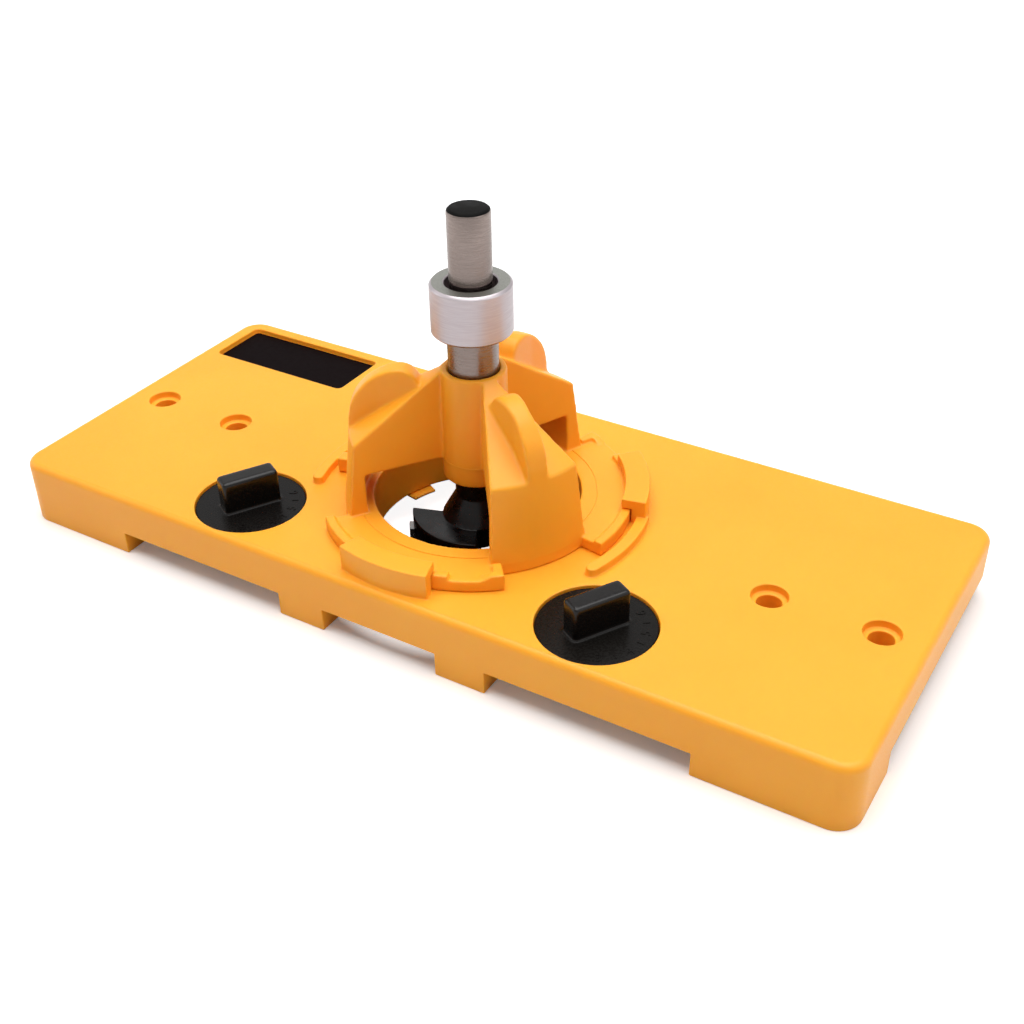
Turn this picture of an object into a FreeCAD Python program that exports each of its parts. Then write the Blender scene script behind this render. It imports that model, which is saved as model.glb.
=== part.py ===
import FreeCAD, Part
import math
import os

V = FreeCAD.Vector
UP = V(0, 0, 1)

# All sizes are in millimetres. The feet stand on z = 0, +X runs along the plate
# and the front edge, with the feet and the dials, faces -Y.

# Base plate
PLATE_LENGTH = 228.0
PLATE_WIDTH = 95.0
PLATE_THICKNESS = 11.2
PLATE_CORNER_R = 6.0
PLATE_EDGE_R = 1.8
PLATE_SKIN = 3.4
PLATE_WALL = 3.0
PLATE_RIB = 2.0
RIB_X = (36.0, 90.0)
RIB_FROM_FRONT = (43.5, 69.5)

# Feet under the front edge
FOOT_HEIGHT = 6.0
CORNER_FOOT_LENGTH = 35.2
CORNER_FOOT_DEPTH = 21.3
MID_FOOT_INNER_X = 15.8
MID_FOOT_LENGTH = 13.2
MID_FOOT_DEPTH = 12.0

# Counterbored screw holes, measured from the plate's ends and front edge
SCREW_HOLE_FROM_END = 10.8
SCREW_HOLE_SPACING = 25.8
SCREW_HOLE_FROM_FRONT = 43.5
SCREW_HOLE_R = 2.9
COUNTERBORE_R = 4.25
COUNTERBORE_DEPTH = 1.9
SCREW_BOSS_WALL = 2.6

# Label recess
RECESS_FROM_END = 4.8
RECESS_FROM_BACK = 4.4
RECESS_LENGTH = 45.3
RECESS_WIDTH = 18.4
RECESS_DEPTH = 1.6
RECESS_CORNER_R = 1.6
LABEL_MARGIN = 0.4
LABEL_THICKNESS = 0.4

# Drill guide, on the boring axis
RING_FROM_FRONT = 44.55
GUIDE_BORE_R = 25.5
SPIGOT_R = 27.9
SPIGOT_CLEARANCE = 0.1
SPIGOT_SHORT = 1.0
FLANGE_THICKNESS = 2.85
FLANGE_CLEARANCE = 0.1
TAB_R = 38.4
TAB_START_ANGLE = -40.0
TAB_END_ANGLE = 41.2
LIP_WIDTH = 2.2
LIP_HEIGHT = 0.65
STOP_END_ANGLE = 22.0
STOP_GAP_ANGLE = 0.3
CATCH_HEIGHT = 1.2
CATCH_START_ANGLE = 36.6
CATCH_RAMP = 2.4
CATCH_LEG_ANGLE = 3.6
CATCH_LEG_WIDTH = 3.0
ARM_AXES = (-30.0, 90.0, 210.0)
TAB_AXES = (-90.0, 30.0, 150.0)
ARM_HALF_ANGLE = 24.0
ARM_APEX_R = 1.6
ARM_SIDE_DRAFT = 0.8
ARM_FOOT_R = 32.6
ARM_SHOULDER_R = 30.3
ARM_SHOULDER_HEIGHT = 21.8
ARM_LEG_INNER_R = 28.0
ARM_WINDOW_HEIGHT = 13.3
SLEEVE_HEIGHT = 36.8
SLEEVE_BOTTOM_HEIGHT = 8.2
SLEEVE_TOP_R = 7.8
SLEEVE_BOTTOM_R = 8.3
SLEEVE_MOUTH_CHAMFER = 0.45
FIN_THICKNESS = 4.4
FIN_RIM = ((12.6, 32.6), (13.4, 34.6), (15.6, 36.4), (18.8, 37.4), (22.4, 37.1),
           (25.6, 35.7), (28.2, 33.0), (29.6, 29.6), (30.1, 26.0))

# Bayonet lugs and guard ribs on the plate
LUG_HALF_ANGLE = 16.5
LUG_WALL = 3.5
LUG_ROOF = 2.5
TAB_SIDE_CLEARANCE = 0.3
TAB_TOP_CLEARANCE = 0.3
GUARD_RIB_WIDTH = 2.9
GUARD_RIB_INSET = 2.2
GUARD_RIB_HEIGHT = 2.0
GUARD_RIB_ANGLE = 32.5
LEDGE_THICKNESS = 0.8
LEDGE_WIDTH = 4.6
LEDGE_ANGLE = 16.0
LEDGE_AXES = (40.0, 160.0, 280.0)
GUIDE_HOLE_WALL = 3.0

# Dials and their eccentric fences
DIAL_X = 48.65
DIAL_FROM_FRONT = 15.6
DIAL_R = 13.6
DIAL_CLEARANCE = 0.2
DIAL_DROP = 0.6
DIAL_THICKNESS = 2.2
DIAL_WELL_WALL = 3.0
DIAL_WELL_FLOOR = 3.0
KNOB_LENGTH = 14.3
KNOB_WIDTH = 5.4
KNOB_HEIGHT = 8.6
KNOB_ANGLE = 60.0
KNOB_EDGE_R = 0.8
HUB_R = 6.0
HUB_CLEARANCE = 0.05
HUB_WALL = 3.0
KEY_SIDE = 5.0
KEY_CLEARANCE = 0.05
SPRING_THICKNESS = 0.6
SPRING_MARGIN = 0.8
SPRING_WIDTH = 3.0
CAM_GAP = 0.1
CAM_FLOOR_CLEARANCE = 0.2
CAM_R = 6.95
CAM_OFFSET = 1.5
CAM_ANGLE = 90.0
CAM_WEB = 2.5
CAM_EDGE = 0.4
CAM_POCKET_R = 4.3
WASHER_R = 4.0
WASHER_THICKNESS = 0.6
SCREW_R = 1.5
SCREW_HEAD_R = 2.9
SCREW_HEAD_HEIGHT = 1.9
SCREW_LENGTH = 10.0
SCREW_SOCKET_DEPTH = 1.0
THREAD_CLEARANCE = 0.02

# Bit: heights are above the plate's top face
SHAFT_R = 6.0
SHAFT_CLEARANCE = 0.06
SHAFT_BOTTOM = 8.0
SHAFT_TOP = 55.0
SHANK_R = 5.0
SHANK_TOP = 75.8
SHANK_CHAMFER = 0.9
SHANK_NECK_R = 4.8
SHANK_NECK_LENGTH = 3.8
TANG_R = 3.5
TANG_LENGTH = 9.0
TANG_CLEARANCE = 0.02
NECK_R = 5.5
NECK_BOTTOM = 2.5
CONE_R = 9.0
CONE_BOTTOM = -3.7
WING_R = 16.4
WING_TOP = -2.65
WING_BOTTOM = -11.5
WING_START_ANGLE = 30.0
WING_SWEEP = 90.0
CORE_R = 5.4
POINT_R = 2.0
POINT_TIP = -16.0
CUTTER_INNER_R = 2.6
CUTTER_OUTER_R = 14.6
CUTTER_THICKNESS = 1.8
CUTTER_TOP = -4.8
CUTTER_EDGE = -13.6
CUTTER_RELIEF = 0.8
SPUR_INNER_R = 14.8
SPUR_OUTER_R = 17.5
SPUR_LENGTH = 3.4
SPUR_TOP = -6.9
SPUR_HEEL = -12.0
SPUR_TIP = -14.2
COLLAR_R = 9.55
COLLAR_HEIGHT = 12.4
COLLAR_BOTTOM = 46.1
COLLAR_CHAMFER = 0.6
GRUB_R = 2.5
GRUB_TIP_GAP = 0.3
GRUB_RECESS = 0.35
GRUB_SOCKET = 1.3
GRUB_ANGLE = 120.0

# Derived places
TOP = FOOT_HEIGHT + PLATE_THICKNESS
HALF_LENGTH = PLATE_LENGTH / 2
FRONT = -PLATE_WIDTH / 2
BACK = PLATE_WIDTH / 2
RING_Y = FRONT + RING_FROM_FRONT
DIAL_Y = FRONT + DIAL_FROM_FRONT
HOLE_R = SPIGOT_R + SPIGOT_CLEARANCE
FLANGE_TOP = TOP + FLANGE_CLEARANCE + FLANGE_THICKNESS
LIP_INNER_R = TAB_R - LIP_WIDTH
LIP_TOP = FLANGE_TOP + LIP_HEIGHT
LUG_INNER_R = LIP_INNER_R
LUG_WALL_R = TAB_R + TAB_SIDE_CLEARANCE
LUG_OUTER_R = LUG_WALL_R + LUG_WALL
LUG_UNDER = LIP_TOP + TAB_TOP_CLEARANCE
LUG_TOP = LUG_UNDER + LUG_ROOF
SLEEVE_BORE_R = SHAFT_R + SHAFT_CLEARANCE
WELL_R = DIAL_R + DIAL_CLEARANCE
DIAL_BOTTOM = TOP - DIAL_DROP - DIAL_THICKNESS
WELL_FLOOR = DIAL_BOTTOM - SPRING_THICKNESS
CAM_TOP = FOOT_HEIGHT - CAM_GAP
WASHER_TOP = CAM_TOP - CAM_WEB


def box(x0, x1, y0, y1, z0, z1):
    """Box between two corners, given axis by axis."""
    return Part.makeBox(x1 - x0, y1 - y0, z1 - z0, V(x0, y0, z0))


def cylinder(radius, z0, z1, x=0.0, y=0.0):
    """Upright cylinder between two heights."""
    return Part.makeCylinder(radius, z1 - z0, V(x, y, z0))


def fillet_where(solid, radius, test):
    """Round every edge of the solid whose bounding box passes the test."""
    return solid.makeFillet(radius, [e for e in solid.Edges if test(e.BoundBox)])


def rounded_slab(x0, x1, y0, y1, z0, z1, radius):
    """Slab with all four upright edges rounded."""
    return fillet_where(box(x0, x1, y0, y1, z0, z1), radius, lambda b: b.ZLength > b.XLength + b.YLength)


def revolve(points, start=0.0, sweep=360.0):
    """Revolve a closed outline of (r, z) points about Z, from one angle through another."""
    corners = [V(r, 0, z) for r, z in points]
    face = Part.Face(Part.makePolygon(corners + corners[:1]))
    solid = face.revolve(V(0, 0, 0), UP, sweep)
    solid.rotate(V(0, 0, 0), UP, start)
    return solid


def ring_sector(r0, r1, z0, z1, start, end):
    """Piece of a ring between two angles."""
    outline = ((r0, z0), (r1, z0), (r1, z1), (r0, z1))
    return revolve(outline, start, end - start)


def prism(outline, axis_vector):
    """Extrude a closed outline of 3-D points along a vector."""
    corners = [V(*p) for p in outline]
    return Part.Face(Part.makePolygon(corners + corners[:1])).extrude(V(*axis_vector))


def turned(solid, angle):
    """Copy of a solid turned about the Z axis."""
    copy = solid.copy()
    copy.rotate(V(0, 0, 0), UP, angle)
    return copy


def moved(solid, x, y, z=0.0):
    """Copy of a solid shifted from where it was made."""
    copy = solid.copy()
    copy.translate(V(x, y, z))
    return copy


def union(first, *others):
    """Fuse solids and drop the seams between their coplanar faces."""
    return first.fuse(list(others)).removeSplitter()


def mirrored(solid):
    """Copy of a solid on the other side of the plate's middle."""
    return solid.mirror(V(0, 0, 0), V(1, 0, 0))


def corner_foot(inset):
    """Right corner foot down from the plate's skin, or its core when inset by the wall."""
    x0 = HALF_LENGTH - CORNER_FOOT_LENGTH + inset
    x1 = HALF_LENGTH - inset
    y0 = FRONT + inset
    y1 = FRONT + CORNER_FOOT_DEPTH - inset
    block = box(x0, x1, y0, y1, 0, TOP - PLATE_SKIN)
    corner_r = PLATE_CORNER_R - inset
    return fillet_where(block, corner_r, lambda b: b.XMin > x1 - 0.1 and b.YMax < y0 + 0.1 and b.ZLength > 1)


def mid_foot(inset):
    """Right mid foot down from the plate's skin, or its core when inset by the wall."""
    x0 = MID_FOOT_INNER_X + inset
    x1 = MID_FOOT_INNER_X + MID_FOOT_LENGTH - inset
    return box(x0, x1, FRONT + inset, FRONT + MID_FOOT_DEPTH - inset, 0, TOP - PLATE_SKIN)


def screw_hole_places():
    """Centres of the four counterbored screw holes."""
    y = FRONT + SCREW_HOLE_FROM_FRONT
    outer = HALF_LENGTH - SCREW_HOLE_FROM_END
    return [(side * x, y) for side in (-1, 1) for x in (outer, outer - SCREW_HOLE_SPACING)]


def underside_core(feet):
    """What the mould leaves open under the plate's skin, between ribs, bosses and feet."""
    x1 = HALF_LENGTH - PLATE_WALL
    y1 = BACK - PLATE_WALL
    core_top = TOP - PLATE_SKIN
    core = rounded_slab(-x1, x1, -y1, y1, FOOT_HEIGHT, core_top, PLATE_CORNER_R - PLATE_WALL)
    half_rib = PLATE_RIB / 2
    solid = [box(-x1, x1, FRONT + y - half_rib, FRONT + y + half_rib, 0, core_top) for y in RIB_FROM_FRONT]
    for x in RIB_X:
        for side in (-1, 1):
            solid.append(box(side * x - half_rib, side * x + half_rib, FRONT, BACK, 0, core_top))
    solid.append(box(-half_rib, half_rib, RING_Y, BACK, 0, core_top))
    solid.append(cylinder(HOLE_R + GUIDE_HOLE_WALL, 0, core_top, 0, RING_Y))
    for x, y in screw_hole_places():
        solid.append(cylinder(SCREW_HOLE_R + SCREW_BOSS_WALL, 0, core_top, x, y))
    for side in (-1, 1):
        solid.append(cylinder(WELL_R + DIAL_WELL_WALL, 0, core_top, side * DIAL_X, DIAL_Y))
    core = core.cut(solid + feet)
    foot_cores = [corner_foot(PLATE_WALL), mid_foot(PLATE_WALL)]
    return core.fuse(foot_cores + [mirrored(c) for c in foot_cores])


def dial_well(x):
    """Everything that is cut out of the plate for one dial, its hub and the mould's core."""
    well = cylinder(WELL_R, WELL_FLOOR, TOP + 1, x, DIAL_Y)
    bore = cylinder(HUB_R + HUB_CLEARANCE, 0, TOP, x, DIAL_Y)
    core = cylinder(WELL_R, 0, WELL_FLOOR - DIAL_WELL_FLOOR, x, DIAL_Y)
    hub_boss = cylinder(HUB_R + HUB_WALL, 0, TOP, x, DIAL_Y)
    return well.fuse([bore, core.cut(hub_boss)])


def lug(axis):
    """Hooked lug that holds one tab of the drill guide down."""
    hook = ((LUG_WALL_R, TOP - 1), (LUG_OUTER_R, TOP - 1), (LUG_OUTER_R, LUG_TOP),
            (LUG_INNER_R, LUG_TOP), (LUG_INNER_R, LUG_UNDER), (LUG_WALL_R, LUG_UNDER))
    return revolve(hook, axis - LUG_HALF_ANGLE, 2 * LUG_HALF_ANGLE)


def guard_rib(axis, turn):
    """Low rib that runs on from a lug, with a round end."""
    r0 = LUG_OUTER_R - GUARD_RIB_INSET
    r1 = r0 + GUARD_RIB_WIDTH
    top = TOP + GUARD_RIB_HEIGHT
    start = axis + turn * LUG_HALF_ANGLE
    end = start + turn * GUARD_RIB_ANGLE
    inside_lug = start - 2 * turn
    rib = ring_sector(r0, r1, TOP - 1, top, min(inside_lug, end), max(inside_lug, end))
    middle = (r0 + r1) / 2
    x = middle * math.cos(math.radians(end))
    y = middle * math.sin(math.radians(end))
    return union(rib, cylinder(GUARD_RIB_WIDTH / 2, TOP - 1, top, x, y))


def base_plate():
    """Moulded plate with feet, lugs, wells, holes and recess."""
    plate = rounded_slab(-HALF_LENGTH, HALF_LENGTH, FRONT, BACK, FOOT_HEIGHT, TOP, PLATE_CORNER_R)
    plate = fillet_where(plate, PLATE_EDGE_R, lambda b: b.ZMin > TOP - 0.01)
    feet = [corner_foot(0), mid_foot(0)]
    feet = feet + [mirrored(f) for f in feet]
    ring_parts = [lug(axis) for axis in TAB_AXES]
    ring_parts.append(guard_rib(TAB_AXES[1], -1))
    ring_parts.append(guard_rib(TAB_AXES[2], 1))
    solid = union(plate, *(feet + [moved(p, 0, RING_Y) for p in ring_parts]))
    cuts = [underside_core(feet), cylinder(HOLE_R, FOOT_HEIGHT - 1, TOP + 1, 0, RING_Y)]
    for side in (-1, 1):
        cuts.append(dial_well(side * DIAL_X))
    for x, y in screw_hole_places():
        cuts.append(cylinder(SCREW_HOLE_R, 0, TOP + 1, x, y))
        cuts.append(cylinder(COUNTERBORE_R, TOP - COUNTERBORE_DEPTH, TOP + 1, x, y))
    x0 = -HALF_LENGTH + RECESS_FROM_END
    y1 = BACK - RECESS_FROM_BACK
    cuts.append(rounded_slab(x0, x0 + RECESS_LENGTH, y1 - RECESS_WIDTH, y1,
                             TOP - RECESS_DEPTH, TOP + 1, RECESS_CORNER_R))
    solid = solid.cut(cuts)
    half = LEDGE_ANGLE / 2
    ledges = [ring_sector(HOLE_R - LEDGE_WIDTH, HOLE_R + 1, FOOT_HEIGHT,
                          FOOT_HEIGHT + LEDGE_THICKNESS, axis - half, axis + half) for axis in LEDGE_AXES]
    return union(solid, *[moved(ledge, 0, RING_Y) for ledge in ledges])


def label_inlay():
    """Thin black inlay on the floor of the recess."""
    x0 = -HALF_LENGTH + RECESS_FROM_END + LABEL_MARGIN
    y1 = BACK - RECESS_FROM_BACK - LABEL_MARGIN
    z0 = TOP - RECESS_DEPTH
    return rounded_slab(x0, x0 + RECESS_LENGTH - 2 * LABEL_MARGIN,
                        y1 - RECESS_WIDTH + 2 * LABEL_MARGIN, y1,
                        z0, z0 + LABEL_THICKNESS, RECESS_CORNER_R - LABEL_MARGIN)


def guide_tab(axis):
    """Flange tab with its lip, the stop beside the lug and the raised catch at its end."""
    start = axis + TAB_START_ANGLE
    end = axis + TAB_END_ANGLE
    stop_start = axis + LUG_HALF_ANGLE + STOP_GAP_ANGLE
    stop_end = axis + STOP_END_ANGLE
    z0 = FLANGE_TOP - 1
    catch_top = FLANGE_TOP + CATCH_HEIGHT
    leg_inner_r = LIP_INNER_R - CATCH_LEG_WIDTH
    tab = ring_sector(SPIGOT_R - 1, TAB_R, TOP + FLANGE_CLEARANCE, FLANGE_TOP, start, end)
    lip = ring_sector(LIP_INNER_R, TAB_R, z0, LIP_TOP, start, stop_end)
    stop = ring_sector(LIP_INNER_R, TAB_R, z0, catch_top, stop_start, stop_end)
    catch = ring_sector(LIP_INNER_R, TAB_R, z0, catch_top, axis + CATCH_START_ANGLE, end)
    leg = ring_sector(leg_inner_r, TAB_R, z0, catch_top, end - CATCH_LEG_ANGLE, end)
    return [tab, lip, stop, catch, catch_ramp(axis), leg]


def catch_ramp(axis):
    """Slope that leads up to the catch at the end of one tab."""
    z0 = FLANGE_TOP - 1
    outline = ((LIP_INNER_R, 1, z0), (LIP_INNER_R, 1, FLANGE_TOP + CATCH_HEIGHT),
               (LIP_INNER_R, 0, FLANGE_TOP + CATCH_HEIGHT), (LIP_INNER_R, -CATCH_RAMP, FLANGE_TOP),
               (LIP_INNER_R, -CATCH_RAMP, z0))
    slope = prism(outline, (2 * LIP_WIDTH, 0, 0)).common(cylinder(TAB_R, 0, 2 * TOP))
    return turned(slope, axis + CATCH_START_ANGLE)


def arm_wedge():
    """Wedge between the two side walls of an arm, drawn in by the draft towards the top."""
    reach = 2 * ARM_FOOT_R
    spread = reach * math.tan(math.radians(ARM_HALF_ANGLE))
    low_x = ARM_APEX_R
    high_x = ARM_APEX_R + ARM_SIDE_DRAFT / math.sin(math.radians(ARM_HALF_ANGLE))
    low = [V(low_x, 0, TOP), V(low_x + reach, -spread, TOP), V(low_x + reach, spread, TOP)]
    high_z = TOP + SLEEVE_HEIGHT
    high = [V(high_x, 0, high_z), V(high_x + reach, -spread, high_z), V(high_x + reach, spread, high_z)]
    wires = [Part.makePolygon(w + w[:1]) for w in (low, high)]
    return Part.makeLoft(wires, True, True)


def arm():
    """One arm along +X: drafted leg, sloping roof and the fin on it."""
    foot = TOP + FLANGE_CLEARANCE
    window = TOP + ARM_WINDOW_HEIGHT
    top = TOP + SLEEVE_HEIGHT - 0.3
    inner = (SLEEVE_BORE_R + SLEEVE_TOP_R) / 2
    outline = ((inner, window), (ARM_LEG_INNER_R, window), (ARM_LEG_INNER_R, foot), (ARM_FOOT_R, foot),
               (ARM_FOOT_R, FLANGE_TOP), (ARM_SHOULDER_R, TOP + ARM_SHOULDER_HEIGHT), (SLEEVE_TOP_R, top),
               (inner, top))
    body = revolve(outline, -2 * ARM_HALF_ANGLE, 4 * ARM_HALF_ANGLE).common(arm_wedge())
    return body.fuse(fin())


def fin():
    """Rounded fin that stands on the arm's roof, flush with the arm's outer face."""
    rim = [V(r, 0, TOP + z) for r, z in FIN_RIM]
    rim.append(V(ARM_SHOULDER_R, 0, TOP + ARM_SHOULDER_HEIGHT))
    curve = Part.BSplineCurve()
    curve.interpolate(rim)
    root = [rim[-1], V(ARM_SHOULDER_R - 4, 0, TOP + ARM_SHOULDER_HEIGHT - 2),
            V(FIN_RIM[0][0], 0, TOP + FIN_RIM[0][1] - 4), rim[0]]
    wire = Part.Wire([curve.toShape(), Part.makePolygon(root)])
    half = FIN_THICKNESS / 2
    blade = Part.Face(wire).extrude(V(0, FIN_THICKNESS, 0))
    blade.translate(V(0, -half, 0))
    return blade


def sleeve():
    """Tapered sleeve in the middle of the tripod, before it is bored."""
    z0 = TOP + SLEEVE_BOTTOM_HEIGHT
    z1 = TOP + SLEEVE_HEIGHT
    return Part.makeCone(SLEEVE_BOTTOM_R, SLEEVE_TOP_R, z1 - z0, V(0, 0, z0))


def drill_guide():
    """Tripod that turns and locks in the plate and guides the bit."""
    spigot_bottom = FOOT_HEIGHT + SPIGOT_SHORT
    foot = TOP + FLANGE_CLEARANCE
    core = revolve(((GUIDE_BORE_R, spigot_bottom), (SPIGOT_R, spigot_bottom), (SPIGOT_R, foot),
                    (ARM_FOOT_R, foot), (ARM_FOOT_R, FLANGE_TOP), (GUIDE_BORE_R, FLANGE_TOP)))
    pieces = [sleeve()]
    for axis in TAB_AXES:
        pieces.extend(guide_tab(axis))
    one_arm = arm()
    pieces.extend(turned(one_arm, axis) for axis in ARM_AXES)
    solid = union(core, *pieces)
    top = TOP + SLEEVE_HEIGHT
    bore = cylinder(SLEEVE_BORE_R, TOP, top + 1)
    mouth_r = SLEEVE_BORE_R + SLEEVE_MOUTH_CHAMFER
    mouth = Part.makeCone(SLEEVE_BORE_R, mouth_r, SLEEVE_MOUTH_CHAMFER, V(0, 0, top - SLEEVE_MOUTH_CHAMFER))
    return moved(solid.cut([bore, mouth]), 0, RING_Y)


def bit_shaft():
    """Ground shaft with the smaller shank above and the tang that the head is fixed on."""
    z0 = TOP + SHAFT_BOTTOM
    z1 = TOP + SHAFT_TOP
    z2 = z1 + SHANK_NECK_LENGTH
    z3 = TOP + SHANK_TOP
    outline = ((0, z0 - TANG_LENGTH), (TANG_R, z0 - TANG_LENGTH), (TANG_R, z0), (SHAFT_R, z0),
               (SHAFT_R, z1), (SHANK_NECK_R, z1), (SHANK_NECK_R, z2), (SHANK_R, z2),
               (SHANK_R, z3 - SHANK_CHAMFER), (SHANK_R - SHANK_CHAMFER, z3), (0, z3))
    return moved(revolve(outline), 0, RING_Y)


def cutter_tip():
    """Flat cutting tip on the leading face of the first wing, before it is turned there."""
    outline = ((CUTTER_INNER_R, 0, TOP + CUTTER_EDGE),
               (CUTTER_INNER_R, CUTTER_THICKNESS, TOP + CUTTER_EDGE + CUTTER_RELIEF),
               (CUTTER_INNER_R, CUTTER_THICKNESS, TOP + CUTTER_TOP),
               (CUTTER_INNER_R, 0, TOP + CUTTER_TOP))
    return prism(outline, (CUTTER_OUTER_R - CUTTER_INNER_R, 0, 0))


def spur_tip():
    """Scoring tip at the leading outer corner of the first wing, before it is turned there."""
    outline = ((SPUR_INNER_R, 0, TOP + SPUR_TIP),
               (SPUR_INNER_R, SPUR_LENGTH, TOP + SPUR_HEEL),
               (SPUR_INNER_R, SPUR_LENGTH, TOP + SPUR_TOP),
               (SPUR_INNER_R, 0, TOP + SPUR_TOP))
    slab = prism(outline, (2 * (SPUR_OUTER_R - SPUR_INNER_R), 0, 0))
    return slab.common(cylinder(SPUR_OUTER_R, 0, TOP))


def on_wing(solid, number):
    """Turn a tip to its wing and set it on the boring axis."""
    return moved(turned(solid, WING_START_ANGLE + 180 * number), 0, RING_Y)


def bit_head():
    """Cutter body: neck, cone, two wings with gullets between them and the centre point."""
    hub = revolve(((0, TOP + WING_BOTTOM), (CORE_R, TOP + WING_BOTTOM), (CORE_R, TOP + CONE_BOTTOM),
                   (CONE_R, TOP + CONE_BOTTOM), (NECK_R, TOP + NECK_BOTTOM), (NECK_R, TOP + SHAFT_BOTTOM),
                   (0, TOP + SHAFT_BOTTOM)))
    wing = ((0, TOP + WING_BOTTOM), (WING_R, TOP + WING_BOTTOM), (WING_R, TOP + WING_TOP),
            (CONE_R, TOP + CONE_BOTTOM), (0, TOP + CONE_BOTTOM))
    wings = [revolve(wing, WING_START_ANGLE + 180 * n, WING_SWEEP) for n in (0, 1)]
    point = Part.makeCone(0, POINT_R, WING_BOTTOM - POINT_TIP, V(0, 0, TOP + POINT_TIP))
    solid = union(hub, *(wings + [point]))
    socket = cylinder(TANG_R + TANG_CLEARANCE, TOP + SHAFT_BOTTOM - TANG_LENGTH, TOP + SHAFT_BOTTOM)
    solid = moved(solid.cut(socket), 0, RING_Y)
    seats = [on_wing(tip, n) for tip in (cutter_tip(), spur_tip()) for n in (0, 1)]
    return solid.cut(seats)


def grub_axis_copy(solid):
    """Lay a part made along Z on the collar's radial screw axis."""
    copy = solid.copy()
    copy.rotate(V(0, 0, 0), V(0, 1, 0), 90)
    copy.translate(V(0, 0, TOP + COLLAR_BOTTOM + COLLAR_HEIGHT / 2))
    return moved(turned(copy, GRUB_ANGLE), 0, RING_Y)


def stop_collar():
    """Depth stop ring with its threaded cross hole."""
    z0 = TOP + COLLAR_BOTTOM
    z1 = z0 + COLLAR_HEIGHT
    c = COLLAR_CHAMFER
    outline = ((SLEEVE_BORE_R, z0), (COLLAR_R - c, z0), (COLLAR_R, z0 + c), (COLLAR_R, z1 - c),
               (COLLAR_R - c, z1), (SLEEVE_BORE_R + c / 2, z1), (SLEEVE_BORE_R, z1 - c / 2))
    ring = moved(revolve(outline), 0, RING_Y)
    return ring.cut(grub_axis_copy(cylinder(GRUB_R + THREAD_CLEARANCE, 0, COLLAR_R + 1)))


def collar_set_screw():
    """Grub screw with a hexagon socket, just clear of the shaft."""
    outer = COLLAR_R - GRUB_RECESS
    body = cylinder(GRUB_R, SHAFT_R + GRUB_TIP_GAP, outer)
    corners = [(GRUB_SOCKET * math.cos(math.radians(60 * n)), GRUB_SOCKET * math.sin(math.radians(60 * n)),
                outer - GRUB_SOCKET) for n in range(6)]
    return grub_axis_copy(body.cut(prism(corners, (0, 0, GRUB_SOCKET))))


def dial():
    """Dial made about the origin: disc, bar knob, hub and the square key for the cam."""
    disc_top = TOP - DIAL_DROP
    disc = cylinder(DIAL_R, DIAL_BOTTOM, disc_top)
    knob_top = disc_top + KNOB_HEIGHT
    half_length = KNOB_LENGTH / 2
    half_width = KNOB_WIDTH / 2
    knob = rounded_slab(-half_length, half_length, -half_width, half_width,
                        DIAL_BOTTOM, knob_top, KNOB_EDGE_R)
    knob = fillet_where(knob, KNOB_EDGE_R, lambda b: b.ZMin > knob_top - 0.01)
    hub = cylinder(HUB_R, CAM_TOP, DIAL_BOTTOM)
    half_key = KEY_SIDE / 2
    key = box(-half_key, half_key, -half_key, half_key, WASHER_TOP + KEY_CLEARANCE, CAM_TOP)
    solid = union(disc, turned(knob, KNOB_ANGLE), hub, key)
    pilot_top = WASHER_TOP - WASHER_THICKNESS + SCREW_LENGTH + 0.5
    return solid.cut(cylinder(SCREW_R + THREAD_CLEARANCE, 0, pilot_top))


def spring_washer():
    """Flat ring that presses the dial up against its cam."""
    outer = DIAL_R - SPRING_MARGIN
    return cylinder(outer, WELL_FLOOR, DIAL_BOTTOM).cut(cylinder(outer - SPRING_WIDTH, 0, TOP))


def cam():
    """Eccentric disc that the door's edge is laid against."""
    disc = cylinder(CAM_R, CAM_FLOOR_CLEARANCE, CAM_TOP)
    disc = disc.makeChamfer(CAM_EDGE, [e for e in disc.Edges if e.BoundBox.ZMax < CAM_FLOOR_CLEARANCE + 0.01])
    disc = turned(moved(disc, CAM_OFFSET, 0), CAM_ANGLE)
    half = KEY_SIDE / 2 + KEY_CLEARANCE
    return disc.cut([cylinder(CAM_POCKET_R, 0, WASHER_TOP), box(-half, half, -half, half, 0, TOP)])


def flat_washer():
    """Washer between the cam's web and the screw head."""
    hole = cylinder(SCREW_R + THREAD_CLEARANCE, 0, TOP)
    return cylinder(WASHER_R, WASHER_TOP - WASHER_THICKNESS, WASHER_TOP).cut(hole)


def cam_screw():
    """Cross recess screw up into the dial's hub."""
    z1 = WASHER_TOP - WASHER_THICKNESS
    z0 = z1 - SCREW_HEAD_HEIGHT
    body = union(cylinder(SCREW_HEAD_R, z0, z1), cylinder(SCREW_R, z1, z1 + SCREW_LENGTH))
    long_half = SCREW_HEAD_R * 0.6
    short_half = SCREW_HEAD_R * 0.15
    slots = [box(-long_half, long_half, -short_half, short_half, z0, z0 + SCREW_SOCKET_DEPTH),
             box(-short_half, short_half, -long_half, long_half, z0, z0 + SCREW_SOCKET_DEPTH)]
    return body.cut(slots)


def dial_pieces(side, name):
    """The pieces of one dial at their place on the plate."""
    makers = {"dial": dial, "spring_washer": spring_washer, "cam": cam, "washer": flat_washer,
              "screw": cam_screw}
    return {name + "_" + key: moved(make(), side * DIAL_X, DIAL_Y) for key, make in makers.items()}


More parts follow.
